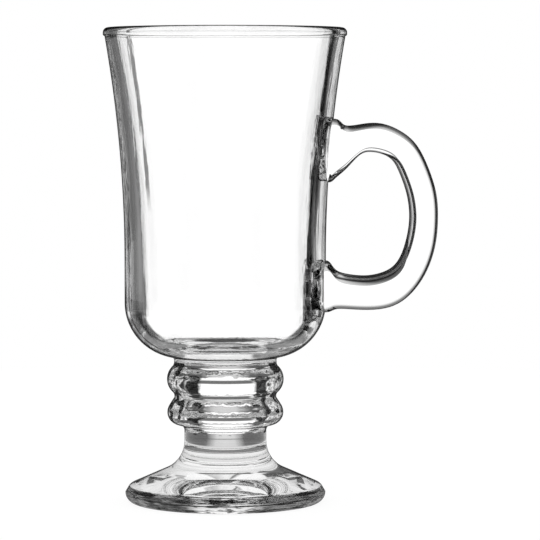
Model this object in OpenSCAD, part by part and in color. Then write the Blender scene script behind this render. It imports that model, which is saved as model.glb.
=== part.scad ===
// Footed glass mug for hot coffee, with a flared bowl, a stem of two knops and one ear handle.
// The frame's zero is the centre of the foot's resting ring. +Z is up and +X points to the handle.

/* [Bowl] */
// Height of the bowl from its joint with the stem to the rim
bowl_h = 103.4; // [88:0.1:119]
// Outer radius of the bowl at its waist
waist_r = 31.25; // [26:0.05:37]
// Height of the waist above the bowl's joint
waist_up = 31.7; // [26:0.1:37]
// How far the wall leans out between the waist and the rim
flare_out = 6; // [3:0.1:9]
// Wall thickness under the rim
wall_top_t = 3.5; // [2.8:0.1:4.2]
// Wall thickness at the bottom of the straight wall
wall_low_t = 6.2; // [5.2:0.1:7.2]
// Glass between the floor of the bowl and the stem's joint
floor_t = 6.4; // [5.2:0.1:8]
// Outer radius of the round between wall and underside
outer_round_r = 17; // [14:0.1:20]
// Inner radius of the round between wall and floor
inner_round_r = 8; // [6.5:0.1:9.5]
// Round where the underside meets the stem
collar_round_r = 1.2; // [0.8:0.1:2]
// Straight collar between that round and the joint
collar_h = 0.2; // [0.1:0.05:1]

/* [Rim] */
// Height of the rim bead
bead_h = 2.6; // [2.2:0.1:3.4]
// How far the bead stands out from the wall
bead_proud = 0.5; // [0.2:0.05:0.8]
// Round along both edges of the rim
rim_round_r = 1.6; // [1:0.1:1.9]

/* [Stem] */
// Radius of the stem where it joins the bowl
stem_r = 15.95; // [13:0.05:19]
// How far the crease between the knops sits inside that radius
crease_in = 0.1; // [0:0.05:0.5]
// Height of the upper knop
upper_knop_h = 11.3; // [9.5:0.1:13]
// How far the upper knop stands out from the crease
upper_knop_out = 2.3; // [1.8:0.05:3]
// Height of the lower knop
lower_knop_h = 10.8; // [10:0.1:13]
// How far the lower knop stands out from the crease
lower_knop_out = 2.2; // [1.8:0.05:3]
// Height of the lower knop's widest ring above its joint with the foot
lower_wide_up = 6.1; // [5.2:0.1:6.8]
// How far the neck sits inside the crease
neck_in = 3.1; // [2.5:0.05:3.7]
// Short straight end of each knop
knop_land_h = 0.4; // [0.1:0.05:0.6]

/* [Foot] */
// Widest radius of the foot
foot_r = 31.17; // [26:0.01:37]
// Height of the widest ring
foot_wide_z = 3.1; // [2.6:0.05:3.6]
// Angle of the round under the widest ring in degrees
foot_under_angle = 75; // [60:1:89]
// Height of the foot's upper edge
foot_edge_z = 5.3; // [4.6:0.05:6.2]
// How far that edge sits inside the widest ring
foot_edge_in = 1.3; // [0.9:0.1:1.8]
// Slope of the foot's upper face in degrees
foot_slope = 23.9; // [19:0.1:29]
// Round between the neck and the slope
neck_fillet_r = 9.5; // [7.5:0.1:11.5]
// Straight neck above that round
neck_h = 2.75; // [1:0.05:6]
// Distance from the widest ring in to the hollow under the foot
hollow_in = 4.6; // [3.6:0.1:6]
// Depth of that hollow
hollow_h = 2.4; // [1:0.1:3]

/* [Handle] */
// Reach of the handle past the waist
handle_reach = 34.65; // [28:0.05:41]
// Height of the handle
handle_h = 57.95; // [47:0.05:69]
// Height of the handle's lowest edge above the bowl's joint
handle_up = 16; // [13:0.1:19]
// Depth of the handle from side to side
handle_depth = 12; // [9:0.1:15]
// Round along the handle's edges
handle_edge_r = 3.2; // [2:0.1:3.7]
// How far the handle's sides spread at the wall
root_spread = 0.8; // [0.3:0.1:2]
// Distance from the wall over which they spread
root_spread_reach = 5; // [3:0.1:7]

/* [Hidden] */
$fn = 120;
arc_steps = 10;
flare_steps = 22;
smooth_steps = 3;
corner_steps = 5;
glass = [0.86, 0.92, 0.94];
stem_glass = [0.72, 0.82, 0.88];
foot_glass = [0.8, 0.88, 0.92];

upper_crown_share = 0.75;
lower_crown_share = 0.71;
under_crown_share = 0.66;

crease_r = stem_r - crease_in;
neck_r = crease_r - neck_in;
upper_knop_r = crease_r + upper_knop_out;
lower_knop_r = crease_r + lower_knop_out;
foot_edge_x = foot_r - foot_edge_in;
foot_soft = foot_edge_in / 2;
foot_under_r = foot_wide_z / sin(foot_under_angle);
ring_in_r = foot_r - hollow_in;
neck_fillet_x = neck_r + neck_fillet_r;
slope_at_neck_z = foot_edge_z + (foot_edge_x - neck_fillet_x) * tan(foot_slope);
neck_fillet_z = slope_at_neck_z + neck_fillet_r / cos(foot_slope);

foot_h = neck_fillet_z + neck_h;
crease_z = foot_h + lower_knop_h;
joint_z = crease_z + upper_knop_h;
mug_h = joint_z + bowl_h;
bead_z = mug_h - bead_h;
waist_z = joint_z + waist_up;
floor_z = joint_z + floor_t;
collar_x = stem_r + collar_round_r;
collar_z = joint_z + collar_h;
outer_round_x = waist_r - outer_round_r;
outer_round_z = collar_z + leg(outer_round_r + collar_round_r, collar_x - outer_round_x);
collar_angle = atan2(outer_round_z - collar_z, outer_round_x - collar_x);
inner_round_z = floor_z + inner_round_r;
inner_round_x = waist_r - wall_low_t - inner_round_r;
rim_out_r = waist_r + flare_out + bead_proud;
rim_in_r = waist_r + flare_out - wall_top_t;
wall_sink = wall_top_t;

// The handle's outer and inner edges from the upper root round to the lower one. Each pair is the
// share of the way out from the wall, and the share of the handle's height.
outer_shares = [[0.03, 1.02], [0.08, 1], [0.17, 0.985], [0.39, 1], [0.6, 0.97], [0.78, 0.895],
    [0.9, 0.775], [0.98, 0.635], [1, 0.495], [0.975, 0.34], [0.885, 0.19], [0.74, 0.075],
    [0.57, 0.015], [0.37, 0], [0.18, 0.005], [0.085, 0.003], [0.03, -0.01]];
inner_shares = [[0.02, 0.685], [0.07, 0.71], [0.155, 0.755], [0.255, 0.82], [0.37, 0.845], [0.55, 0.815],
    [0.65, 0.735], [0.72, 0.625], [0.75, 0.505], [0.73, 0.39], [0.67, 0.28], [0.575, 0.215],
    [0.45, 0.187], [0.325, 0.18], [0.18, 0.19], [0.085, 0.215], [0.03, 0.255]];

// Other leg of a right triangle
function leg(long_side, short_side) = sqrt(long_side * long_side - short_side * short_side);

// Points on an arc in the profile plane
function arc(x, z, r, from, to) =
    [for (i = [0 : arc_steps]) let (a = from + (to - from) * i / arc_steps) [x + r * cos(a), z + r * sin(a)]];

// Point at a given distance from one point towards another
function towards(start, goal, distance) = start + (goal - start) * distance / norm(goal - start);

// Rounded corner as a curve that leaves each side at the given distance
function softened(before, corner, after, distance) =
    let (p = towards(corner, before, distance), q = towards(corner, after, distance))
    [for (i = [0 : corner_steps]) let (t = i / corner_steps)
        p * pow(1 - t, 2) + corner * 2 * t * (1 - t) + q * pow(t, 2)];

// Outer radius of the leaning wall at a height
function leaning_r(z) = waist_r + flare_out * pow(max(z - waist_z, 0) / (bead_z - waist_z), 2);

// Outer radius of the bowl at a height, with the round below the wall
function bowl_r(z) =
    z >= outer_round_z ? leaning_r(z) : outer_round_x + leg(outer_round_r, outer_round_z - z);

// Wall thickness at a height
function wall_t(z) = wall_low_t + (wall_top_t - wall_low_t) * (z - inner_round_z) / (bead_z - inner_round_z);

// Round between wall and underside, and the bead's lower edge, both from below
outer_round = arc(outer_round_x, outer_round_z, outer_round_r, collar_angle - 180, 0);
bead_under = arc(leaning_r(bead_z), bead_z + bead_proud, bead_proud, -90, 0);

// Outside of the bowl from the joint to the bead's widest point
bowl_outside = concat(
    [[stem_r, joint_z]],
    arc(collar_x, collar_z, collar_round_r, 180, collar_angle),
    [for (i = [1 : arc_steps]) outer_round[i]],
    [for (i = [1 : flare_steps]) let (z = outer_round_z + (bead_z - outer_round_z) * i / flare_steps)
        [leaning_r(z), z]],
    [for (i = [1 : arc_steps]) bead_under[i]]);

// Inside of the bowl from the bead's top to the floor
bowl_inside = concat(
    arc(rim_out_r - rim_round_r, mug_h - rim_round_r, rim_round_r, 0, 90),
    arc(rim_in_r + rim_round_r, mug_h - rim_round_r, rim_round_r, 90, 180),
    [for (i = [flare_steps : -1 : 1]) let (z = inner_round_z + (bead_z - inner_round_z) * i / flare_steps)
        [leaning_r(z) - wall_t(z), z]],
    arc(inner_round_x, inner_round_z, inner_round_r, 0, -90));

// Radii of a crown and of its fillet together, for a knop that stands out so far in such a height
function knop_radii(height, out) = (height * height / out + out) / 2;

// One side of a knop from its widest ring to a neck, as a crown and a fillet. Way is 1 for up and -1 for down
function knop_side(knop_r, wide_z, inner_r, height, crown_share, way) =
    let (out = knop_r - inner_r, radii = knop_radii(height, out))
    let (crown_r = radii * crown_share, round_r = radii - crown_r, turn = atan2(height, radii - out))
    let (crown = arc(knop_r - crown_r, wide_z, crown_r, 0, way * turn))
    let (fillet = arc(inner_r + round_r, wide_z + way * height, round_r, way * turn - 180, -180))
    concat([for (i = [1 : arc_steps - 1]) crown[i]], fillet);

// The points in the other order
function reversed(points) = [for (i = [len(points) - 1 : -1 : 0]) points[i]];

module turned(points) {
    rotate_extrude()
    polygon(points);
}

module bowl() {
    color(glass)
    turned(concat([[0, joint_z]], bowl_outside, bowl_inside, [[0, floor_z]]));
}

module upper_knop() {
    wide_z = crease_z + upper_knop_h / 2;
    side_h = upper_knop_h / 2 - knop_land_h;
    color(stem_glass)
    turned(concat(
        [[0, crease_z], [crease_r, crease_z]],
        reversed(knop_side(upper_knop_r, wide_z, crease_r, side_h, upper_crown_share, -1)),
        [[upper_knop_r, wide_z]],
        knop_side(upper_knop_r, wide_z, stem_r, side_h, upper_crown_share, 1),
        [[stem_r, joint_z], [0, joint_z]]));
}

module lower_knop() {
    wide_z = foot_h + lower_wide_up;
    crown_r = lower_crown_share * knop_radii(crease_z - wide_z, lower_knop_out);
    flank = [crown_r - lower_knop_out, crease_z - wide_z];
    flank_angle = atan2(flank[1], flank[0]) - acos(crown_r / norm(flank));
    color(glass)
    turned(concat(
        [[0, foot_h], [neck_r, foot_h]],
        reversed(knop_side(lower_knop_r, wide_z, neck_r, lower_wide_up - knop_land_h, under_crown_share, -1)),
        arc(lower_knop_r - crown_r, wide_z, crown_r, 0, flank_angle),
        [[crease_r, crease_z], [0, crease_z]]));
}

module foot() {
    to_neck = arc(neck_fillet_x, neck_fillet_z, neck_fillet_r, -90 - foot_slope, -180);
    edge = [foot_edge_x, foot_edge_z];
    widest = [foot_r, foot_wide_z];
    under = arc(foot_r - foot_under_r, foot_wide_z, foot_under_r, 0, -foot_under_angle);
    color(foot_glass)
    turned(concat(
        [for (i = [0 : arc_steps]) let (share = i / arc_steps)
            [ring_in_r * share, hollow_h * (1 - share * share)]],
        [for (i = [arc_steps : -1 : 1]) under[i]],
        softened(under[1], widest, edge, foot_soft),
        softened(widest, edge, to_neck[0], foot_soft),
        to_neck,
        [[neck_r, foot_h], [0, foot_h]]));
}

// Smooth curve through the points at a given place along them, counted in points
function smooth_at(points, place) =
    let (last = len(points) - 1, i = min(floor(place), last - 1), t = place - i)
    let (p = points[i], q = points[i + 1], before = points[max(i - 1, 0)], after = points[min(i + 2, last)])
    let (lean = q - before, bend = before * 2 - p * 5 + q * 4 - after, twist = p * 3 - q * 3 + after - before)
    p + (lean + (bend + twist * t) * t) * t / 2;

// Place of an outline share in the plane of the handle
function handle_point(share) =
    let (z = joint_z + handle_up + handle_h * share[1], wall = bowl_r(z))
    [wall + (waist_r + handle_reach - wall) * share[0], z];

// The same curve with both its ends carried straight into the bowl's wall
function carried_in(points) =
    concat([points[0] - [wall_sink, 0]], points, [points[len(points) - 1] - [wall_sink, 0]]);

// Rounded rectangle between an outer and an inner point of the handle
function handle_ring(outer, inner) =
    let (middle = (outer + inner) / 2, across = (outer - inner) / norm(outer - inner))
    let (off_wall = max(middle[0] - bowl_r(middle[1]), 0), near = max(1 - off_wall / root_spread_reach, 0))
    let (half_w = norm(outer - inner) / 2 - handle_edge_r)
    let (half_d = handle_depth / 2 - handle_edge_r + root_spread * near * near)
    [for (side = [0 : 3], i = [0 : corner_steps])
        let (a = side * 90 + 90 * i / corner_steps)
        let (u = handle_edge_r * cos(a) + half_w * (side == 0 || side == 3 ? 1 : -1))
        let (v = handle_edge_r * sin(a) + half_d * (side < 2 ? 1 : -1))
        [middle[0] + across[0] * u, v, middle[1] + across[1] * u]];

// The handle as rings carried along its two edges
module handle_loop() {
    outer = carried_in([for (share = outer_shares) handle_point(share)]);
    inner = carried_in([for (share = inner_shares) handle_point(share)]);
    last = (len(outer) - 1) * smooth_steps;
    count = 4 * (corner_steps + 1);
    rings = [for (k = [0 : last]) let (place = k / smooth_steps)
        handle_ring(smooth_at(outer, place), smooth_at(inner, place))];
    sides = [for (k = [0 : last - 1], i = [0 : count - 1])
        let (a = k * count + i, b = k * count + (i + 1) % count)
        each [[a, b, b + count], [a, b + count, a + count]]];
    first_cap = [for (i = [1 : count - 2]) [0, i + 1, i]];
    last_cap = [for (i = [1 : count - 2]) [last * count, last * count + i, last * count + i + 1]];
    polyhedron([for (ring = rings) each ring], concat(sides, first_cap, last_cap));
}

module handle() {
    color(foot_glass)
    difference() {
        handle_loop();
        turned(concat([[0, joint_z]], bowl_outside, [[0, mug_h]]));
    }
}

bowl();
upper_knop();
lower_knop();
foot();
handle();
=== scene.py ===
"""Footed mug for hot coffee in clear pressed glass, dressed for a bright studio photograph.

Sizes are in millimetres in the classes and in metres in the meshes. The frame's zero is the centre of
the foot's resting ring, +Z is up and +X points to the handle.
"""

import logging
import math
from dataclasses import dataclass, field
from enum import Enum
from functools import reduce
from typing import Any, Callable, Sequence

import bmesh
import bpy
import numpy as np
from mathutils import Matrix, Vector


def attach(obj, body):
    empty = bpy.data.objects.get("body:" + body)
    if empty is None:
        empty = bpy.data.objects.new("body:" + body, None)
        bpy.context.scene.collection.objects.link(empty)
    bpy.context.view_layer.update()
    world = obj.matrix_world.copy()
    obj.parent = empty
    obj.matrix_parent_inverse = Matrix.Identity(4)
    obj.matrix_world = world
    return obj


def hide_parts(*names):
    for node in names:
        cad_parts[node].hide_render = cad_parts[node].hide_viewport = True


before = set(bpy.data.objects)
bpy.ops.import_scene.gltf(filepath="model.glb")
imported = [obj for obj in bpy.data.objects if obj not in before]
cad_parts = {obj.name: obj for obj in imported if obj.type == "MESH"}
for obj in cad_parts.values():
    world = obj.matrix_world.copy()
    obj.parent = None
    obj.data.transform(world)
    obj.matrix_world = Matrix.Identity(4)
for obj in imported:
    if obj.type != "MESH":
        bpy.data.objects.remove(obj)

LOG = logging.getLogger("glass_mug")
MM = 0.001
WELD = 1e-7
MERGE = 1e-6
NEAR_MM = 0.01
ROUND_STEPS = 256
CREASE = math.radians(32)
WHITE = (1.0, 1.0, 1.0, 1.0)
PALE = (0.9, 0.9, 0.9, 1.0)
# Colour of the painted shade that the glass mixes in for its dark outlines and marks.
PAINTED_SHADE = (0.01, 0.01, 0.01, 1.0)
BODY = "root"

Shape = bmesh.types.BMesh
Pair = tuple[float, float]
Pairs = tuple[Pair, ...]


class Skin(Enum):
    """Which material slot of a piece a face takes."""

    GLASS = 0
    FUSED = 1
    OPENED = 2


def metres(x: float, y: float, z: float) -> Vector:
    """A point given in millimetres, in metres."""
    return Vector((x, y, z)) * MM


def other_leg(long_side: float, short_side: float) -> float:
    """The other leg of a right triangle."""
    return math.sqrt(long_side * long_side - short_side * short_side)


class Outline:
    """A profile drawn point by point in the XZ plane and then turned about the Z axis."""

    def __init__(self, r: float, z: float) -> None:
        """Starts the profile.

        Args:
            r: Distance of the first point from the axis, in millimetres.
            z: Its height, in millimetres.
        """
        self.mesh = bmesh.new()
        self.tip = self.mesh.verts.new(metres(r, 0, z))

    def line(self, r: float, z: float) -> "Outline":
        """Draws a straight stretch to a point.

        Args:
            r: Distance of the point from the axis.
            z: Its height.

        Returns:
            The outline.
        """
        made = bmesh.ops.extrude_vert_indiv(self.mesh, verts=[self.tip])
        self.tip = made["verts"][0]
        self.tip.co = metres(r, 0, z)
        return self

    def curve(self, radius_at: Callable[[float], float], start: float, end: float, steps: int) -> "Outline":
        """Draws the curve of a wall.

        Args:
            radius_at: Gives the distance from the axis at a height.
            start: Height at which the curve starts, where the tip already is.
            end: Height at which it ends.
            steps: Number of stretches.

        Returns:
            The outline.
        """
        for step in range(1, steps + 1):
            z = start + (end - start) * step / steps
            self.line(radius_at(z), z)
        return self

    def arc(self, r: float, z: float, turn: float, steps: int) -> "Outline":
        """Swings the tip round a centre.

        Args:
            r: Distance of the centre from the axis.
            z: Height of the centre.
            turn: Angle in degrees, positive from outwards to upwards.
            steps: Number of stretches.

        Returns:
            The outline.
        """
        made = bmesh.ops.spin(
            self.mesh, geom=[self.tip], cent=metres(r, 0, z), axis=(0, -1, 0),
            angle=math.radians(turn), steps=steps, use_duplicate=False,
        )
        self.tip = next(v for v in made["geom_last"] if isinstance(v, bmesh.types.BMVert))
        return self

    def turned(self) -> Shape:
        """Turns the profile a full circle about the Z axis.

        Returns:
            The turned shape, closed along its seam and at its poles.
        """
        mesh = self.mesh
        bmesh.ops.spin(
            mesh, geom=[*mesh.verts, *mesh.edges], cent=(0, 0, 0), axis=(0, 0, 1), angle=math.tau,
            steps=ROUND_STEPS, use_merge=True, use_duplicate=False,
        )
        bmesh.ops.remove_doubles(mesh, verts=mesh.verts, dist=WELD)
        bmesh.ops.dissolve_degenerate(mesh, dist=WELD, edges=mesh.edges)
        bmesh.ops.recalc_face_normals(mesh, faces=mesh.faces)
        return mesh


@dataclass
class MugSizes:
    """The sizes that more than one piece of the mug takes, in millimetres."""

    waist_r: float = 31.25
    waist_up: float = 31.7
    flare_out: float = 6.0
    bowl_h: float = 103.4
    bead_h: float = 2.6
    outer_round_r: float = 17.0
    collar_round_r: float = 1.2
    collar_h: float = 0.2
    stem_r: float = 15.95
    crease_in: float = 0.1
    upper_knop_h: float = 11.3
    upper_knop_out: float = 2.3
    lower_knop_h: float = 10.8
    lower_knop_out: float = 2.2
    lower_wide_up: float = 6.1
    neck_in: float = 3.1
    foot_h: float = 21.82

    @property
    def crease_r(self) -> float:
        """Radius at the crease between the knops."""
        return self.stem_r - self.crease_in

    @property
    def neck_r(self) -> float:
        """Radius of the neck."""
        return self.crease_r - self.neck_in

    @property
    def crease_z(self) -> float:
        """Height of the crease between the knops."""
        return self.foot_h + self.lower_knop_h

    @property
    def joint_z(self) -> float:
        """Height at which the bowl meets the stem."""
        return self.crease_z + self.upper_knop_h

    @property
    def mug_h(self) -> float:
        """Height of the whole mug."""
        return self.joint_z + self.bowl_h

    @property
    def bead_z(self) -> float:
        """Height at which the rim's bead starts."""
        return self.mug_h - self.bead_h

    @property
    def waist_z(self) -> float:
        """Height of the bowl's waist."""
        return self.joint_z + self.waist_up

    @property
    def outer_round_x(self) -> float:
        """Distance from the axis to the centre of the round between wall and underside."""
        return self.waist_r - self.outer_round_r

    @property
    def collar_x(self) -> float:
        """Distance from the axis to the centre of the collar's round."""
        return self.stem_r + self.collar_round_r

    @property
    def collar_z(self) -> float:
        """Height of the centre of the collar's round."""
        return self.joint_z + self.collar_h

    @property
    def outer_round_z(self) -> float:
        """Height of the centre of the round between wall and underside."""
        reach = self.outer_round_r + self.collar_round_r
        return self.collar_z + other_leg(reach, self.collar_x - self.outer_round_x)

    def leaning_r(self, z: float) -> float:
        """Outer radius of the leaning wall at a height."""
        lean = max(z - self.waist_z, 0) / (self.bead_z - self.waist_z)
        return self.waist_r + self.flare_out * lean * lean

    def bowl_r(self, z: float) -> float:
        """Outer radius of the bowl at a height, with the round below the wall."""
        down = max(self.outer_round_z - z, 0)
        return self.outer_round_x + other_leg(self.outer_round_r, down) if down else self.leaning_r(z)


def knop_radii(height: float, out: float) -> float:
    """Radii of a crown and of its fillet together, for a knop that stands out so far in such a height."""
    return (height * height / out + out) / 2


class Signal:
    """A shader socket that takes part in arithmetic, which adds the Math nodes."""

    def __init__(self, graph: "Graph", socket: bpy.types.NodeSocket) -> None:
        """Wraps a socket of a graph."""
        self.graph = graph
        self.socket = socket

    def maths(self, operation: str, *values: "Signal | float") -> "Signal":
        """Adds a Math node on one or two values."""
        return self.graph.signal("Math", "Value", {"operation": operation}, dict(enumerate(values)))

    def __add__(self, other: "Signal | float") -> "Signal":
        """This plus the other."""
        return self.maths("ADD", self, other)

    __radd__ = __add__

    def __sub__(self, other: "Signal | float") -> "Signal":
        """This minus the other."""
        return self.maths("SUBTRACT", self, other)

    def __rsub__(self, other: float) -> "Signal":
        """The other minus this."""
        return self.maths("SUBTRACT", other, self)

    def __mul__(self, other: "Signal | float") -> "Signal":
        """This times the other."""
        return self.maths("MULTIPLY", self, other)

    __rmul__ = __mul__

    def size(self) -> "Signal":
        """This without its sign."""
        return self.maths("ABSOLUTE", self)

    def above(self, limit: float) -> "Signal":
        """One where this is more than a limit, and zero elsewhere."""
        return self.maths("GREATER_THAN", self, limit)

    def counts(self, least: int, most: int) -> "Signal":
        """One where this whole number lies between two others or on them, and zero elsewhere."""
        return self.above(least - 0.5) * (1 - self.above(most + 0.5))

    def highest(self, *others: "Signal | float") -> "Signal":
        """The highest of this and the others at each point."""
        return reduce(lambda top, other: self.maths("MAXIMUM", top, other), others, self)

    def ramp(self, low: float, high: float) -> "Signal":
        """Steps smoothly from zero to one.

        Args:
            low: Where the result is zero.
            high: Where it is one, which may also be the lower of the two.

        Returns:
            The step.
        """
        limits = {"From Min": min(low, high), "From Max": max(low, high)}
        risen = self.graph.signal(
            "MapRange", "Result", {"interpolation_type": "SMOOTHSTEP"}, {"Value": self, **limits}
        )
        return risen if high > low else 1 - risen


class Graph:
    """The node tree of a material or of the world."""

    def __init__(self, tree: bpy.types.NodeTree) -> None:
        """Takes over a tree and empties it."""
        self.tree = tree
        tree.nodes.clear()

    def node(self, kind: str, settings: dict[str, Any], sockets: dict[str | int, Any]) -> bpy.types.Node:
        """Adds a node.

        Args:
            kind: The node's type, without the prefix that all have.
            settings: Its own settings or a colour ramp's stops, which are set first.
            sockets: A number, a tuple, a socket or a signal for each input, by name or by place.

        Returns:
            The node.
        """
        node = self.tree.nodes.new("ShaderNode" + kind)
        for name, value in settings.items():
            if name != "stops":
                setattr(node, name, value)
                continue
            for place, _ in value[1:-1]:
                node.color_ramp.elements.new(place)
            for stop, (place, grey) in zip(node.color_ramp.elements, value):
                stop.position, stop.color = place, (grey, grey, grey, 1.0)
        for name, value in sockets.items():
            source = value.socket if isinstance(value, Signal) else value
            if isinstance(source, bpy.types.NodeSocket):
                self.tree.links.new(source, node.inputs[name])
            else:
                node.inputs[name].default_value = source
        return node

    def signal(self, kind: str, output: str, settings: dict[str, Any], sockets: dict[str | int, Any]) -> Signal:
        """Adds a node and takes one of its outputs as a signal."""
        return Signal(self, self.node(kind, settings, sockets).outputs[output])

    def vector(self, operation: str, *values: Any) -> bpy.types.NodeSocket:
        """Adds a Vector Math node and takes its vector."""
        node = self.node("VectorMath", {"operation": operation}, dict(enumerate(values)))
        return node.outputs["Vector"]

    def measure(self, operation: str, *values: Any) -> Signal:
        """Adds a Vector Math node and takes its number."""
        return self.signal("VectorMath", "Value", {"operation": operation}, dict(enumerate(values)))

    def parts(self, vector: bpy.types.NodeSocket) -> list[Signal]:
        """Splits a vector into its X, Y and Z."""
        node = self.node("SeparateXYZ", {}, {"Vector": vector})
        return [Signal(self, output) for output in node.outputs]

    def facing(self, **sockets: bpy.types.NodeSocket) -> Signal:
        """How far a face turns from the eye, from zero if it is square to it to one if it is seen edge on."""
        return self.signal("LayerWeight", "Facing", {}, sockets)


class Spot:
    """The point of a piece that a ray meets, with its height and distance from the axis in millimetres."""

    def __init__(self, graph: Graph) -> None:
        """Adds the nodes that tell about the point.

        Args:
            graph: The material's nodes.
        """
        self.graph = graph
        self.place = graph.node("TexCoord", {}, {}).outputs["Object"]
        x, y, z = graph.parts(self.place)
        self.height = z * (1 / MM)
        self.out = graph.node("CombineXYZ", {}, {"X": x, "Y": y}).outputs["Vector"]
        self.away = graph.measure("LENGTH", self.out) * (1 / MM)
        face = graph.node("NewGeometry", {}, {})
        self.normal = face.outputs["Normal"]
        self.outside = 1 - Signal(graph, face.outputs["Backfacing"])
        self.turn = graph.facing()

    def side_turn(self) -> Signal:
        """How far the piece's side turns from the eye, as if its face stood upright."""
        return self.graph.facing(Normal=self.graph.vector("NORMALIZE", self.out))


@dataclass(frozen=True)
class Band:
    """A range of a signal over which something shows.

    It comes up from start to full and goes down from fall to end. Left out, these two lie past one, which a
    turn, a share or a noise never gets to.
    """

    start: float
    full: float
    level: float = 1.0
    fall: float = 1.1
    end: float = 1.2

    def on(self, signal: Signal) -> Signal:
        """How much shows at each point of a signal, from zero to the level."""
        return signal.ramp(self.start, self.full) * signal.ramp(self.end, self.fall) * self.level


def new_material(name: str) -> tuple[bpy.types.Material, Graph]:
    """Makes a material.

    Args:
        name: Its name.

    Returns:
        The material and its nodes, which are still to come.
    """
    made = bpy.data.materials.new(name)
    made.use_nodes = True
    return made, Graph(made.node_tree)


@dataclass(frozen=True)
class PressedGlass:
    """Clear glass from a press mould, with the faint waves that the mould and the flame leave, and with painted
    shade: a flat dark mixed in along its outline and its marks, standing in for the dark room that the glass bends
    and mirrors.
    """

    name: str
    outline: Band
    # Painted dark outline: how much painted shade shows as the face turns away from the eye.
    ior: float = 1.5
    wave_mm: float = 14.0
    wave_height: float = 0.02
    ripple_mm: float = 3.5
    ripple_height: float = 0.004
    upright: float = 1.0

    def noise(self, spot: Spot, size_mm: float, detail: float, tall: float, rough: float = 0.5) -> Signal:
        """Adds noise of a given size.

        Args:
            spot: The point.
            size_mm: Width of the noise's marks in millimetres.
            detail: How much finer noise it holds.
            tall: Height of the marks, as a multiple of their width.
            rough: How strong the finer noise is.

        Returns:
            The noise, about one half.
        """
        fine = 1 / (size_mm * MM)
        drawn = spot.graph.node("Mapping", {}, {"Vector": spot.place, "Scale": (fine, fine, fine / tall)})
        return spot.graph.signal(
            "TexNoise", "Fac", {"noise_dimensions": "3D"},
            {"Vector": drawn.outputs["Vector"], "Scale": 1.0, "Detail": detail, "Roughness": rough},
        )

    def lines(self, spot: Spot) -> Signal | float:
        """How much painted shade each point takes inside the painted dark outline, which plain glass takes
        nowhere.
        """
        return 0.0

    def material(self) -> bpy.types.Material:
        """Makes the material, with a flat dark diffuse mixed in as painted shade.

        Returns:
            A material whose waves are in the piece's own coordinates.
        """
        made, graph = new_material(self.name)
        spot = Spot(graph)
        waves = self.noise(spot, self.wave_mm, 1.0, self.upright)
        ripples = self.noise(spot, self.ripple_mm, 2.0, self.upright)
        height = waves * (self.wave_height * MM) + ripples * (self.ripple_height * MM)
        bump = graph.node("Bump", {}, {"Height": height, "Distance": 1.0, "Strength": 1.0})
        glass = graph.node("BsdfPrincipled", {}, {
            "Base Color": WHITE, "Roughness": 0.0, "IOR": self.ior, "Transmission Weight": 1.0,
            "Normal": bump.outputs["Normal"],
        })
        # Painted shade: a flat dark diffuse mixed into the glass along the outline and on the marks of lines(), in
        # place of the dark room that the glass bends and mirrors.
        dark = graph.node("BsdfDiffuse", {}, {"Color": PAINTED_SHADE})
        share = self.outline.on(spot.turn).highest(self.lines(spot))
        mixed = graph.node("MixShader", {}, {0: share, 1: glass.outputs[0], 2: dark.outputs[0]})
        graph.node("OutputMaterial", {}, {"Surface": mixed.outputs[0]})
        return made


@dataclass(frozen=True)
class BowlGlass(PressedGlass):
    """The glass of the bowl, with painted dark lines on its thick wall, round and rim, painted dark corner wedges
    and a painted grey bead, in place of the shade that the glass bends and mirrors from the room.
    """

    round_line: Band = Band(0.76, 0.84, 0.92)
    round_mm: Pair = (78.0, 62.0)
    floor_middle_mm: Pair = (12.5, 8.5)
    underside_mm: Pair = (15.5, 16.5)
    rim_line: Band = Band(0.35, 0.52, 0.95)
    rim_mm: Pair = (146.4, 146.8)
    bead_mm: Pair = (144.2, 144.9)
    bead_shade: float = 0.08
    right_line: Band = Band(0.5, 0.53, 0.8, 0.57, 0.6)
    right_mm: Pair = (88.0, 100.0)
    right_side: Pair = (0.6, 0.75)
    left_line: Band = Band(0.675, 0.695, 0.75, 0.71, 0.73)
    left_mm: Pair = (100.0, 85.0)
    left_side: Pair = (-0.4, -0.6)
    corner: Band = Band(0.41, 0.45, 0.85, 0.53, 0.59)
    corner_mm: Band = Band(50.5, 54.0, 1.0, 55.0, 68.0)

    def lines(self, spot: Spot) -> Signal:
        """Paints shade on the wall, the round, the rim, the bead and the corners.

        Args:
            spot: The point.

        Returns:
            The darkness, from zero to one.
        """
        turn, height = spot.turn, spot.height
        across = spot.graph.parts(spot.normal)[0]
        outer = spot.graph.measure("DOT_PRODUCT", spot.out, spot.normal).above(0)
        middle = spot.away.ramp(*self.floor_middle_mm).highest(spot.away.ramp(*self.underside_mm))
        # Painted shade: dark lines on the low round, the rim and both sides of the wall.
        low = self.round_line.on(turn) * height.ramp(*self.round_mm) * middle
        rim = self.rim_line.on(turn) * height.ramp(*self.rim_mm)
        # Painted shade: a light grey tone over the rim's bead.
        bead = height.ramp(*self.bead_mm) * self.bead_shade
        right = self.right_line.on(turn) * height.ramp(*self.right_mm) * across.ramp(*self.right_side)
        left = self.left_line.on(turn) * height.ramp(*self.left_mm) * across.ramp(*self.left_side) * outer
        # Painted shade: a near-black wedge on each side of the outer round.
        corner = self.corner.on(turn) * self.corner_mm.on(height) * outer
        return low.highest(rim, bead, right, left, corner) * spot.outside


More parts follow.
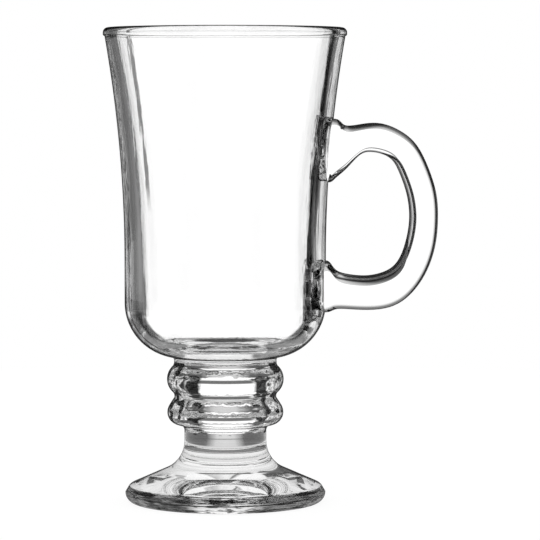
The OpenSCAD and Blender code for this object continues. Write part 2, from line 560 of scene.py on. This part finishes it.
@dataclass(frozen=True)
class KnopGlass(PressedGlass):
    """The glass of the knops, with painted dark patches on their sides and painted dark belts across their front,
    in place of the shade that the glass bends and mirrors.
    """

    sides: Band = Band(0.24, 0.32, 0.93, 0.9, 1.0)
    patch_mm: float = 4.0
    patch_edge: Pair = (0.51, 0.55)
    belts_mm: tuple[float, ...] = (38.9, 33.9, 27.5)
    belt_edge_mm: Pair = (0.7, 0.35)
    belt_turn: Pair = (0.17, 0.1)
    belt_dark: float = 0.85

    def lines(self, spot: Spot) -> Signal:
        """Paints shade in the patches and on the belts.

        Args:
            spot: The point.

        Returns:
            The darkness, from zero to one.
        """
        turn = spot.side_turn()
        # Painted shade: dark patches, broken up by noise, where the knops' sides turn away from the eye.
        spots = self.noise(spot, self.patch_mm, 2.0, self.upright)
        patches = self.sides.on(turn) * spots.ramp(*self.patch_edge)
        # Painted shade: dark belts at three heights across the front.
        belts = [(spot.height - belt).size().ramp(*self.belt_edge_mm) for belt in self.belts_mm]
        front = belts[0].highest(*belts[1:]) * turn.ramp(*self.belt_turn) * self.belt_dark
        return patches.highest(front) * spot.outside


@dataclass(frozen=True)
class FootGlass(PressedGlass):
    """The glass of the foot, whose low edge takes a painted grey shade with painted dark streaks, most where it
    turns away from the eye.
    """

    edge_z_mm: Pair = (5.3, 5.05)
    edge_r_mm: Pair = (28.7, 28.8)
    sides: Band = Band(0.03, 0.1, 0.93)
    side_grey: float = 0.72
    side_painted_streaks: Band = Band(0.35, 0.65, 0.28)
    bold_painted_streaks: Band = Band(0.5, 0.58, 0.85)
    streak_mm: float = 5.0
    streak_flat: float = 7.0
    streak_rough: float = 0.6

    def lines(self, spot: Spot) -> Signal:
        """Paints a streaky grey shade along the low edge.

        Args:
            spot: The point.

        Returns:
            The darkness, from zero to one.
        """
        # Painted shade: grey along the low edge, deeper where its side turns away, broken by dark streaks from
        # noise.
        edge = spot.height.ramp(*self.edge_z_mm) * spot.away.ramp(*self.edge_r_mm) * spot.outside
        painted_streaks = self.noise(spot, self.streak_mm, 3.0, 1 / self.streak_flat, self.streak_rough)
        sides = self.sides.on(spot.side_turn()) * (self.side_grey + self.side_painted_streaks.on(painted_streaks))
        return edge * sides.highest(self.bold_painted_streaks.on(painted_streaks))


@dataclass(frozen=True)
class BarGlass(PressedGlass):
    """The glass of the handle, with a painted dark second line inside its outline on the hollow side, a painted
    dark line on the outer side and painted dark edges.
    """

    inner_line: Band = Band(0.06, 0.1, 0.9, 0.18, 0.24)
    inner_faces: Pair = (-0.1, -0.3)
    inner_sides: Pair = (0.6, 0.7)
    outer_line: Band = Band(0.1, 0.4, 0.8)
    outer_faces: Pair = (0.1, 0.3)
    edge: Band = Band(0.32, 0.6, 0.9)
    edge_sides: Pair = (0.1, 0.25)
    middle_mm: tuple[float, float, float] = (50.0, 0.0, 89.0)

    def lines(self, spot: Spot) -> Signal:
        """Paints shade along the hollow side, the outer side and at the edges.

        Args:
            spot: The point.

        Returns:
            The darkness, from zero to one.
        """
        graph, turn = spot.graph, spot.turn
        middle = tuple(part * MM for part in self.middle_mm)
        from_middle = graph.vector("NORMALIZE", graph.vector("SUBTRACT", spot.place, middle))
        outward = graph.measure("DOT_PRODUCT", from_middle, spot.normal)
        sideways = graph.parts(spot.normal)[1].size()
        flank = sideways.ramp(*self.edge_sides)
        # Painted shade: a dark line on the hollow side, one on the outer side and dark edges on the flanks.
        inner = self.inner_line.on(turn) * outward.ramp(*self.inner_faces) * sideways.ramp(*self.inner_sides)
        outer = self.outer_line.on(turn) * outward.ramp(*self.outer_faces) * flank
        return (inner.highest(outer) * spot.outside).highest(self.edge.on(turn) * flank)


@dataclass(frozen=True)
class FusedJoint:
    """The place where two pieces are fused, at which the glass runs on and nothing shows."""

    name: str

    def material(self) -> bpy.types.Material:
        """Makes the material.

        Returns:
            A material that lets every ray go straight on.
        """
        made, graph = new_material(self.name)
        clear = graph.node("BsdfTransparent", {}, {})
        graph.node("OutputMaterial", {}, {"Surface": clear.outputs[0]})
        return made


def finish_piece(mesh: Shape, name: str, skins: Sequence[bpy.types.Material]) -> bpy.types.Object:
    """Turns a finished shape into an object of the scene.

    Args:
        mesh: The shape, which is freed.
        name: The piece's name.
        skins: Its materials, in the order of Skin.

    Returns:
        The object, at the origin.
    """
    for face in mesh.faces:
        face.smooth = True
    for edge in mesh.edges:
        edge.smooth = edge.calc_face_angle(0) < CREASE
    data = bpy.data.meshes.new(name)
    mesh.to_mesh(data)
    mesh.free()
    for skin in skins:
        data.materials.append(skin)
    piece = bpy.data.objects.new(name, data)
    bpy.context.scene.collection.objects.link(piece)
    return piece


def mark_fused(mesh: Shape, height: float, reach: float) -> None:
    """Gives the flat faces of a joint the fused skin.

    Args:
        mesh: The turned shape.
        height: Height of the joint in millimetres.
        reach: Radius of the joint in millimetres.
    """
    for face in mesh.faces:
        flat = all(abs(v.co.z - height * MM) < MERGE for v in face.verts)
        if flat and all(v.co.xy.length < (reach + NEAR_MM) * MM for v in face.verts):
            face.material_index = Skin.FUSED.value


@dataclass
class Foot:
    """The foot: a neck, a concave sweep, a sloping face, an edge and a shallow hollow underneath."""

    sizes: MugSizes
    foot_r: float = 31.17
    wide_z: float = 3.1
    under_angle: float = 75.0
    edge_z: float = 5.3
    edge_in: float = 1.3
    edge_round: float = 0.65
    slope: float = 23.9
    neck_fillet_r: float = 9.5
    hollow_in: float = 4.6
    hollow_h: float = 2.4
    hollow_steps: int = 24
    under_steps: int = 14
    edge_steps: int = 6
    fillet_steps: int = 24

    def shape(self) -> Shape:
        """Builds the foot's mesh.

        Returns:
            The closed shape.
        """
        under = math.radians(self.under_angle)
        under_r = self.wide_z / math.sin(under)
        ring_r = self.foot_r - self.hollow_in
        edge_x = self.foot_r - self.edge_in
        slope = math.radians(self.slope)
        fillet_r = self.neck_fillet_r
        fillet_x = self.sizes.neck_r + fillet_r
        fillet_z = self.edge_z + (edge_x - fillet_x) * math.tan(slope) + fillet_r / math.cos(slope)
        outline = Outline(0, self.hollow_h)
        for step in range(1, self.hollow_steps + 1):
            share = step / self.hollow_steps
            outline.line(ring_r * share, self.hollow_h * (1 - share * share))
        outline.line(self.foot_r - under_r * (1 - math.cos(under)), 0)
        outline.arc(self.foot_r - under_r, self.wide_z, self.under_angle, self.under_steps)
        outline.line(edge_x, self.edge_z)
        corner = outline.tip
        outline.line(fillet_x - fillet_r * math.sin(slope), fillet_z - fillet_r * math.cos(slope))
        outline.arc(fillet_x, fillet_z, self.slope - 90, self.fillet_steps)
        outline.line(self.sizes.neck_r, self.sizes.foot_h).line(0, self.sizes.foot_h)
        bmesh.ops.bevel(
            outline.mesh, geom=[corner], offset=self.edge_round * MM, offset_type="OFFSET", affect="VERTICES",
            segments=self.edge_steps, profile=0.5, material=-1,
        )
        mesh = outline.turned()
        mark_fused(mesh, self.sizes.foot_h, self.sizes.neck_r)
        return mesh


@dataclass
class Knop:
    """One bulge of the stem, from the height and radius of its lower end to those of its upper end."""

    low: Pair
    high: Pair
    wide_r: float
    wide_z: float
    land: float = 0.4
    under_share: float = 0.75
    crown_share: float = 0.75
    sharp_top: bool = False
    crown_steps: int = 20
    short_steps: int = 14

    def shape(self) -> Shape:
        """Builds the knop's mesh.

        Returns:
            The closed shape.
        """
        low_r, low_z = self.low
        high_r, high_z = self.high
        height, out = self.wide_z - low_z - self.land, self.wide_r - low_r
        radii = knop_radii(height, out)
        crown_r, fillet_r = radii * self.under_share, radii * (1 - self.under_share)
        turn = math.degrees(math.atan2(height, radii - out))
        outline = Outline(0, low_z).line(low_r, low_z).line(low_r, low_z + self.land)
        outline.arc(low_r + fillet_r, self.wide_z - height, -turn, self.short_steps)
        outline.arc(self.wide_r - crown_r, self.wide_z, turn, self.crown_steps)
        if self.sharp_top:
            height, out = high_z - self.wide_z, self.wide_r - high_r
            crown_r = knop_radii(height, out) * self.crown_share
            flank = math.hypot(crown_r - out, height)
            turn = math.degrees(math.atan2(height, crown_r - out) - math.acos(crown_r / flank))
            outline.arc(self.wide_r - crown_r, self.wide_z, turn, self.short_steps)
        else:
            height, out = high_z - self.wide_z - self.land, self.wide_r - high_r
            radii = knop_radii(height, out)
            crown_r, fillet_r = radii * self.crown_share, radii * (1 - self.crown_share)
            turn = math.degrees(math.atan2(height, radii - out))
            outline.arc(self.wide_r - crown_r, self.wide_z, turn, self.crown_steps)
            outline.arc(high_r + fillet_r, self.wide_z + height, -turn, self.short_steps)
        mesh = outline.line(high_r, high_z).line(0, high_z).turned()
        mark_fused(mesh, low_z, low_r)
        mark_fused(mesh, high_z, high_r)
        return mesh


@dataclass
class Bowl:
    """The flared bowl with its rim bead and thick round bottom."""

    sizes: MugSizes
    wall_top_t: float = 3.5
    wall_low_t: float = 6.2
    floor_t: float = 6.4
    inner_round_r: float = 8.0
    bead_proud: float = 0.5
    rim_round_r: float = 1.6
    collar_steps: int = 10
    outer_steps: int = 36
    wall_steps: int = 64
    bead_steps: int = 6
    rim_steps: int = 12
    inner_steps: int = 30

    def outside(self, outline: Outline) -> None:
        """Draws the outside of the bowl, from the joint to the bead.

        Args:
            outline: The bowl's profile, whose tip is at the edge of the joint.
        """
        sizes = self.sizes
        rise, run = sizes.outer_round_z - sizes.collar_z, sizes.outer_round_x - sizes.collar_x
        turn = math.degrees(math.atan2(rise, run))
        outline.line(sizes.stem_r, sizes.collar_z)
        outline.arc(sizes.collar_x, sizes.collar_z, turn - 180, self.collar_steps)
        outline.arc(sizes.outer_round_x, sizes.outer_round_z, 180 - turn, self.outer_steps)
        outline.curve(sizes.leaning_r, sizes.outer_round_z, sizes.bead_z, self.wall_steps)
        outline.arc(sizes.leaning_r(sizes.bead_z), sizes.bead_z + self.bead_proud, 90, self.bead_steps)

    def shape(self) -> Shape:
        """Builds the bowl's mesh.

        Returns:
            The closed shape.
        """
        sizes = self.sizes
        floor_z = sizes.joint_z + self.floor_t
        inner_z = floor_z + self.inner_round_r
        inner_x = sizes.waist_r - self.wall_low_t - self.inner_round_r

        def inside(z: float) -> float:
            """Inner radius of the wall at a height."""
            share = (z - inner_z) / (sizes.bead_z - inner_z)
            return sizes.leaning_r(z) - self.wall_low_t - (self.wall_top_t - self.wall_low_t) * share

        outline = Outline(0, sizes.joint_z).line(sizes.stem_r, sizes.joint_z)
        self.outside(outline)
        rim_r = sizes.leaning_r(sizes.bead_z) + self.bead_proud
        rim_in = rim_r - self.bead_proud - self.wall_top_t
        round_r, round_z = self.rim_round_r, sizes.mug_h - self.rim_round_r
        outline.line(rim_r, round_z).arc(rim_r - round_r, round_z, 90, self.rim_steps)
        outline.line(rim_in + round_r, sizes.mug_h).arc(rim_in + round_r, round_z, 90, self.rim_steps)
        outline.line(inside(sizes.bead_z), sizes.bead_z)
        outline.curve(inside, sizes.bead_z, inner_z, self.wall_steps)
        outline.arc(inner_x, inner_z, -90, self.inner_steps)
        mesh = outline.line(0, floor_z).turned()
        mark_fused(mesh, sizes.joint_z, sizes.stem_r)
        return mesh


class Rail:
    """A smooth curve through points, of continuous bend."""

    def __init__(self, points: Sequence[Pair]) -> None:
        """Works out the curve.

        Args:
            points: The points that the curve goes through.
        """
        self.points = np.array(points)
        count = len(points)
        system = np.eye(count) * 4
        system += np.eye(count, k=1) + np.eye(count, k=-1)
        system[0, :2] = 2, 1
        system[-1, -2:] = 1, 2
        rises = np.zeros_like(self.points)
        rises[1:-1] = 3 * (self.points[2:] - self.points[:-2])
        rises[0] = 3 * (self.points[1] - self.points[0])
        rises[-1] = 3 * (self.points[-1] - self.points[-2])
        self.slopes = np.linalg.solve(system, rises)

    def at(self, place: float) -> np.ndarray:
        """Finds a point of the curve.

        Args:
            place: How far along it lies, counted in points.

        Returns:
            The point.
        """
        i = min(int(place), len(self.points) - 2)
        t = place - i
        p, q, m, n = self.points[i], self.points[i + 1], self.slopes[i], self.slopes[i + 1]
        return p + t * (m + t * (3 * (q - p) - 2 * m - n + t * (2 * (p - q) + m + n)))


@dataclass
class Handle:
    """The ear-shaped handle, a rounded bar that is carried along an outer and an inner edge."""

    sizes: MugSizes
    reach: float = 34.65
    height: float = 57.95
    up: float = 16.0
    depth: float = 12.0
    edge_r: float = 3.2
    spread: float = 0.8
    spread_reach: float = 5.0
    sink: float = 1.2
    corner_steps: int = 8
    side_steps: int = 4
    steps: int = 6
    outer_shares: Pairs = (
        (0.03, 1.02), (0.08, 1.0), (0.17, 0.985), (0.39, 1.0), (0.6, 0.97), (0.78, 0.895), (0.9, 0.775),
        (0.98, 0.635), (1.0, 0.495), (0.975, 0.34), (0.885, 0.19), (0.74, 0.075), (0.57, 0.015), (0.37, 0.0),
        (0.18, 0.005), (0.085, 0.003), (0.03, -0.01))
    inner_shares: Pairs = (
        (0.02, 0.685), (0.07, 0.71), (0.155, 0.755), (0.255, 0.82), (0.37, 0.845), (0.55, 0.815), (0.65, 0.735),
        (0.72, 0.625), (0.75, 0.505), (0.73, 0.39), (0.67, 0.28), (0.575, 0.215), (0.45, 0.187), (0.325, 0.18),
        (0.18, 0.19), (0.085, 0.215), (0.03, 0.255))

    def edge(self, shares: Pairs) -> Rail:
        """Works out one edge of the handle.

        Args:
            shares: The edge's points as shares of the way out from the wall and of the height.

        Returns:
            The smooth edge, with both its ends carried into the wall.
        """
        points = []
        for across, share_up in shares:
            z = self.sizes.joint_z + self.up + self.height * share_up
            wall = self.sizes.bowl_r(z)
            points.append((wall + (self.sizes.waist_r + self.reach - wall) * across, z))
        first, last = points[0], points[-1]
        return Rail([(first[0] - self.sink * 2, first[1]), *points, (last[0] - self.sink * 2, last[1])])

    def ring(self, outer: np.ndarray, inner: np.ndarray) -> list[Vector]:
        """Places the bar's section between two points of its edges.

        Args:
            outer: Point of the outer edge.
            inner: Point of the inner edge.

        Returns:
            The points of a rounded rectangle, in order.
        """
        middle, along = (outer + inner) / 2, outer - inner
        width = float(np.hypot(*along))
        off_wall = max(middle[0] - self.sizes.bowl_r(middle[1]), 0)
        near = max(1 - off_wall / self.spread_reach, 0)
        half_w = width / 2 - self.edge_r
        half_d = self.depth / 2 - self.edge_r + self.spread * near * near
        corners = ((1, 1), (-1, 1), (-1, -1), (1, -1))

        def rounded(corner: int, quarters: float) -> Pair:
            """Point of a rounded corner, at an angle counted in quarter turns."""
            (u_sign, v_sign), a = corners[corner % 4], math.radians(90 * quarters)
            return u_sign * half_w + self.edge_r * math.cos(a), v_sign * half_d + self.edge_r * math.sin(a)

        section: list[Pair] = []
        for side in range(4):
            section += [rounded(side, side + step / self.corner_steps) for step in range(self.corner_steps + 1)]
            start, end = section[-1], rounded(side + 1, side + 1)
            for step in range(1, self.side_steps):
                t = step / self.side_steps
                section.append((start[0] + (end[0] - start[0]) * t, start[1] + (end[1] - start[1]) * t))
        across = along / width
        return [metres(middle[0] + across[0] * u, v, middle[1] + across[1] * u) for u, v in section]

    def bar(self) -> Shape:
        """Carries the section along the edges.

        Returns:
            The closed bar, whose ends stand in the bowl's wall.
        """
        outer, inner = self.edge(self.outer_shares), self.edge(self.inner_shares)
        last = (len(outer.points) - 1) * self.steps
        mesh = bmesh.new()
        ring = [mesh.verts.new(p) for p in self.ring(outer.at(0), inner.at(0))]
        bmesh.ops.contextual_create(mesh, geom=ring)
        edges = [mesh.edges.get((a, b)) for a, b in zip(ring, ring[1:] + ring[:1])]
        for station in range(1, last + 1):
            made = bmesh.ops.extrude_edge_only(mesh, edges=edges)
            fresh = {v for v in made["geom"] if isinstance(v, bmesh.types.BMVert)}
            ring = [next(e.other_vert(v) for e in v.link_edges if e.other_vert(v) in fresh) for v in ring]
            place = station / self.steps
            for vert, point in zip(ring, self.ring(outer.at(place), inner.at(place))):
                vert.co = point
            edges = [mesh.edges.get((a, b)) for a, b in zip(ring, ring[1:] + ring[:1])]
        bmesh.ops.contextual_create(mesh, geom=ring)
        bmesh.ops.recalc_face_normals(mesh, faces=mesh.faces)
        return mesh


def cut(target: Shape, cutter: Shape, mark: Skin) -> Shape:
    """Cuts one closed shape out of another.

    Args:
        target: The shape that is cut, which is freed.
        cutter: The shape that is taken away, which is kept.
        mark: Skin of the faces that the cut makes.

    Returns:
        What is left.
    """
    objects = []
    for mesh in (target, cutter):
        data = bpy.data.meshes.new("cut")
        mesh.to_mesh(data)
        for _ in Skin:
            data.materials.append(None)
        objects.append(bpy.data.objects.new("cut", data))
        bpy.context.scene.collection.objects.link(objects[-1])
    target.free()
    whole, tool = objects
    tool.data.polygons.foreach_set("material_index", [mark.value] * len(tool.data.polygons))
    modifier = whole.modifiers.new("cut", "BOOLEAN")
    modifier.operation, modifier.object, modifier.solver = "DIFFERENCE", tool, "EXACT"
    left = bmesh.new()
    left.from_object(whole, bpy.context.evaluated_depsgraph_get())
    for used in objects:
        data = used.data
        bpy.data.objects.remove(used)
        bpy.data.meshes.remove(data)
    return left


class Ray:
    """What has happened to a ray before it gets to a place, each as one or zero."""

    def __init__(self, graph: Graph) -> None:
        """Adds the nodes that tell about the ray.

        Args:
            graph: The node tree that asks.
        """
        path = graph.node("LightPath", {}, {})
        mirrored = Signal(graph, path.outputs["Glossy Depth"])
        crossed = Signal(graph, path.outputs["Transmission Depth"])
        self.once = mirrored.above(0)
        self.twice = mirrored.counts(2, 3)
        self.through = crossed.above(0)
        self.solid = crossed.counts(2, 2)
        self.length_mm = Signal(graph, path.outputs["Ray Length"]) * (1 / MM)


def share_round(x: Signal, y: Signal, folds: int) -> Signal:
    """How far round the mug something lies, as a share of a fold of the full turn."""
    return x.maths("FRACT", x.maths("ARCTAN2", x, y) * (folds / math.tau))


def greys(share: Signal, stops: Pairs) -> Signal:
    """Reads a scale of greys, given as places and greys, at a share from zero to one."""
    return share.graph.signal("ValToRGB", "Color", {"stops": stops}, {"Fac": share})


@dataclass
class Studio:
    """Pale floor, white room with dark cards, and the photograph's camera.

    Heights in the room are the upright part of a direction, from minus one to one. Places round the mug are
    shares of half a turn or of a quarter turn, so that the mug looks alike from opposite sides.
    """

    camera_back: float = 922.0
    camera_up: float = 127.62
    camera_lens: float = 198.2
    camera_sensor: float = 36.0
    camera_clip: Pair = (0.01, 50.0)
    look_down: float = 3.44
    look_aside: float = 0.864
    ray_bounces: tuple[int, int, int] = (24, 16, 16)
    through_level: float = 1.16
    twice_dark: float = 0.97
    outside_share: float = 0.08
    surround: Pairs = (
        (0.0, 0.9), (0.05, 0.6), (0.062, 0.5), (0.078, 1.0), (0.145, 1.0), (0.16, 0.4), (0.175, 0.2), (0.2, 0.18),
        (0.225, 0.08), (0.245, 0.0), (0.295, 0.0), (0.315, 0.15), (0.34, 0.2), (0.36, 0.85), (0.5, 0.9),
        (0.64, 0.85), (0.66, 0.2), (0.71, 0.22), (0.74, 0.3), (0.8, 0.18), (0.835, 0.16), (0.855, 0.24),
        (0.872, 0.42), (0.89, 0.3), (0.9, 0.05), (0.913, 0.05), (0.922, 0.95), (0.935, 0.95), (0.945, 0.15),
        (0.965, 0.2), (0.975, 0.9), (1.0, 0.9))
    dim_up: Band = Band(-0.02, 0.05, 0.65)
    dim_round: Band = Band(0.7, 0.74, 1.0, 0.87, 0.9)
    beside_up: Band = Band(0.32, 0.38)
    beside_round: Band = Band(0.3, 0.36, 1.0, 0.64, 0.7)
    above_up: Band = Band(0.04, 0.1)
    corner_up: Pair = (0.34, 0.28)
    corner_round: Band = Band(0.7, 0.74, 1.0, 0.93, 0.96)
    high_up: Band = Band(0.38, 0.45, 1.0, 0.78, 0.84)
    high_cards: Pairs = ((0.0, 1.0), (0.18, 1.0), (0.25, 0.0), (0.88, 0.0), (0.93, 1.0), (1.0, 1.0))
    low_up: Band = Band(0.24, 0.3, 1.0, 0.43, 0.48)
    low_gaps: Pairs = (
        (0.0, 1.0), (0.18, 1.0), (0.215, 0.0), (0.33, 0.0), (0.36, 0.95), (0.39, 0.1), (0.43, 0.8), (0.48, 0.15),
        (0.53, 0.9), (0.58, 0.2), (0.61, 0.95), (0.64, 0.0), (0.74, 0.0), (0.775, 1.0), (1.0, 1.0))
    ahead_up: Band = Band(0.24, 0.28, 1.0, 0.44, 0.48)
    ahead_cards: Pairs = ((0.0, 0.9), (0.14, 0.9), (0.17, 0.0), (0.83, 0.0), (0.86, 0.9), (1.0, 0.9))
    spared_up: Band = Band(0.18, 0.22, 1.0, 0.38, 0.44)
    overhead_up: Band = Band(0.88, 0.93)
    floor_r: float = 450.0
    floor_steps: int = 96
    # The floor's even glow, and the painted light and shade that the glass mirrors or bends of it.
    floor_plain: float = 0.1
    floor_light: float = 1.03
    near_light: float = 0.8
    near_mm: Pair = (45.0, 65.0)
    floor_seen: Pairs = (
        (0.0, 0.7), (0.08, 0.65), (0.18, 0.05), (0.3, 0.03), (0.7, 0.03), (0.82, 0.05), (0.92, 0.65), (1.0, 0.7))
    floor_ring_mm: Band = Band(146.0, 148.0, 1.0, 156.0, 158.0)
    square_light: float = 0.22
    slant_light: Band = Band(0.78, 0.9, 0.75)
    under_light: float = 0.95
    under_mm: Pair = (18.0, 24.0)
    under_ray_mm: Pair = (30.0, 20.0)
    around_mm: Pair = (50.0, 58.0)
    around_greys: Pairs = ((0.0, 1.0), (0.2, 1.0), (0.25, 0.2), (0.87, 0.2), (0.9, 1.0), (1.0, 1.0))

    def camera(self) -> None:
        """Puts the camera where the photograph was taken from."""
        data = bpy.data.cameras.new("camera")
        data.lens, data.sensor_width = self.camera_lens, self.camera_sensor
        data.clip_start, data.clip_end = self.camera_clip
        made = bpy.data.objects.new("camera", data)
        made.location = metres(0, -self.camera_back, self.camera_up)
        made.rotation_euler = (math.radians(90 - self.look_down), 0, math.radians(-self.look_aside))
        bpy.context.scene.collection.objects.link(made)
        bpy.context.scene.camera = made

    def mirrored(self, ray: Ray, up: Signal, half: Signal, quarter: Signal) -> Signal:
        """Lays out what the glass mirrors.

        Args:
            ray: What has happened to the ray.
            up: Height of its direction.
            half: Its place round the mug, as a share of half a turn.
            quarter: The same as a share of a quarter turn.

        Returns:
            The light that comes from there.
        """
        dimmed = self.dim_up.on(up) * self.dim_round.on(half)
        beside = self.beside_up.on(up) * self.beside_round.on(half)
        level = greys(half, self.surround) * (1 - dimmed) * (1 - beside)
        high = self.high_up.on(up) * greys(quarter, self.high_cards)
        low = self.low_up.on(up) * (1 - greys(quarter, self.low_gaps))
        corner = up.ramp(*self.corner_up) * self.corner_round.on(half)
        above = self.above_up.on(up) * (1 - corner) * (1 - high.highest(low))
        ahead = self.ahead_up.on(up) * greys(quarter, self.ahead_cards)
        again = ray.twice * (1 - self.spared_up.on(up)) * self.twice_dark
        room = (level.highest(above) * (1 - ahead) * (1 - again)).highest(self.overhead_up.on(up))
        return room * (self.outside_share + ray.through * (1 - self.outside_share))

    def world(self) -> None:
        """Surrounds the mug with white, and with what it mirrors and what its thick glass bends into view."""
        made = bpy.data.worlds.new("studio")
        made.use_nodes = True
        bpy.context.scene.world = made
        graph = Graph(made.node_tree)
        ray = Ray(graph)
        x, y, up = graph.parts(graph.node("TexCoord", {}, {}).outputs["Generated"])
        half, quarter = share_round(x, y, 2), share_round(x, y, 4)
        beyond = greys(quarter, self.low_gaps).highest(1 - ray.solid) * self.through_level
        mirrored = ray.once * self.mirrored(ray, up, half, quarter)
        level = (1 + ray.through * (beyond - 1)) * (1 - ray.once) + mirrored
        back = graph.node("Background", {}, {"Color": WHITE, "Strength": level})
        graph.node("OutputWorld", {}, {"Surface": back.outputs["Background"]})

    def floor(self) -> None:
        """Lays a pale floor that glows white and keeps the mug's faint shadow, with painted light and shade where
        the glass mirrors or bends it.
        """
        mesh = bmesh.new()
        bmesh.ops.create_circle(mesh, cap_ends=True, segments=self.floor_steps, radius=self.floor_r * MM)
        made, graph = new_material("pale_floor")
        ray = Ray(graph)
        place = graph.node("TexCoord", {}, {}).outputs["Object"]
        x, y, _ = graph.parts(place)
        away, quarter = graph.measure("LENGTH", place) * (1 / MM), share_round(x, y, 4)
        # Painted light in what the glass mirrors of the floor: brighter where mirrored rays reach it after a short
        # way round the foot, lit beyond the foot in some directions, a plain grey elsewhere.
        under = away.ramp(*self.under_mm) * ray.length_mm.ramp(*self.under_ray_mm) * self.under_light
        around = away.ramp(*self.around_mm) * greys(quarter, self.around_greys)
        mirrored = (self.square_light + self.slant_light.on(graph.facing())).highest(under, around)
        # Painted shade in what the solid glass bends of the floor: dark sectors between brighter ones, a dimmer
        # floor near the foot and a dark ring.
        outside = away.ramp(*self.near_mm)
        seen = greys(quarter, self.floor_seen) * outside + (1 - outside) * self.near_light
        seen = seen * (1 - self.floor_ring_mm.on(away))
        beyond = self.through_level + ray.solid * (seen - self.through_level)
        direct = self.floor_light + ray.through * (beyond - self.floor_light)
        level = direct * (1 - ray.once) + ray.once * mirrored
        plain = graph.node("BsdfDiffuse", {}, {"Color": PALE})
        glow = graph.node("Emission", {}, {"Color": WHITE, "Strength": level})
        mixed = graph.node("MixShader", {}, {0: 1 - self.floor_plain, 1: plain.outputs[0], 2: glow.outputs[0]})
        graph.node("OutputMaterial", {}, {"Surface": mixed.outputs[0]})
        floor = finish_piece(mesh, "floor", [made])

    def build(self) -> None:
        """Sets the whole studio."""
        scene = bpy.context.scene
        scene.view_settings.view_transform = "Standard"
        cycles = scene.cycles
        cycles.max_bounces, cycles.glossy_bounces, cycles.transmission_bounces = self.ray_bounces
        self.camera()
        self.world()
        self.floor()


@dataclass
class Mug:
    """The whole mug."""

    sizes: MugSizes = field(default_factory=MugSizes)

    def fuse_handle(self, bowl: Shape, bar: Shape) -> tuple[Shape, Shape]:
        """Cuts the bar at the bowl's wall and opens the wall's skin where the bar is fused to it.

        Args:
            bowl: The bowl's shape, which is freed.
            bar: The handle's bar, which is freed.

        Returns:
            The shapes of the bowl and of the handle, which share the faces of their joint.
        """
        handle = cut(bar.copy(), bowl, Skin.FUSED)
        opened = cut(bowl, bar, Skin.OPENED)
        bar.free()
        roots = [f for f in opened.faces if f.material_index == Skin.OPENED.value]
        bmesh.ops.delete(opened, geom=roots, context="FACES")
        caps = [f for f in handle.faces if f.material_index == Skin.FUSED.value]
        places: dict[bmesh.types.BMVert, bmesh.types.BMVert] = {}
        for face in caps:
            for vert in face.verts:
                if vert not in places:
                    places[vert] = opened.verts.new(vert.co)
            opened.faces.new([places[v] for v in reversed(face.verts)]).material_index = Skin.FUSED.value
        rims = {v for e in opened.edges if e.is_boundary for v in e.verts}
        bmesh.ops.remove_doubles(opened, verts=list(rims), dist=MERGE)
        return opened, handle

    def build(self) -> list[bpy.types.Object]:
        """Builds and dresses the pieces.

        Returns:
            The pieces.
        """
        sizes = self.sizes
        fused = FusedJoint("fused_glass").material()
        # Each glass's first band sets its painted dark outline.
        wall = BowlGlass(
            "wall_glass", Band(0.82, 0.93, 0.85), upright=8.0, wave_mm=2.2, wave_height=0.03, ripple_mm=1.2,
            ripple_height=0.014,
        ).material()
        rod = KnopGlass(
            "stem_glass", Band(0.7, 0.85, 0.93), wave_mm=3.0, wave_height=0.2, ripple_mm=1.3, ripple_height=0.02
        ).material()
        base = FootGlass("foot_glass", Band(0.84, 0.9, 0.85)).material()
        bar = BarGlass("handle_glass", Band(0.75, 0.9, 0.9)).material()
        lower = Knop(
            (sizes.neck_r, sizes.foot_h), (sizes.crease_r, sizes.crease_z), sizes.crease_r + sizes.lower_knop_out,
            sizes.foot_h + sizes.lower_wide_up, under_share=0.66, crown_share=0.71, sharp_top=True,
        )
        upper = Knop(
            (sizes.crease_r, sizes.crease_z), (sizes.stem_r, sizes.joint_z), sizes.crease_r + sizes.upper_knop_out,
            sizes.crease_z + sizes.upper_knop_h / 2,
        )
        bowl, handle = self.fuse_handle(Bowl(sizes).shape(), Handle(sizes).bar())
        made = []
        for node, mesh, skin in (
            ("foot", Foot(sizes).shape(), base), ("lower_knop", lower.shape(), rod),
            ("upper_knop", upper.shape(), rod), ("bowl", bowl, wall), ("handle", handle, bar),
        ):
            piece = finish_piece(mesh, "glass_" + node, [skin, fused])
            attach(piece, BODY)
            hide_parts(node)
            made.append(piece)
        return made


def main() -> None:
    """Builds the scene."""
    logging.basicConfig(level=logging.INFO, format="%(message)s")
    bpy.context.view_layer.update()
    Studio().build()
    for piece in Mug().build():
        LOG.info("%s: %d faces", piece.name, len(piece.data.polygons))


if __name__ == "__main__":
    main()
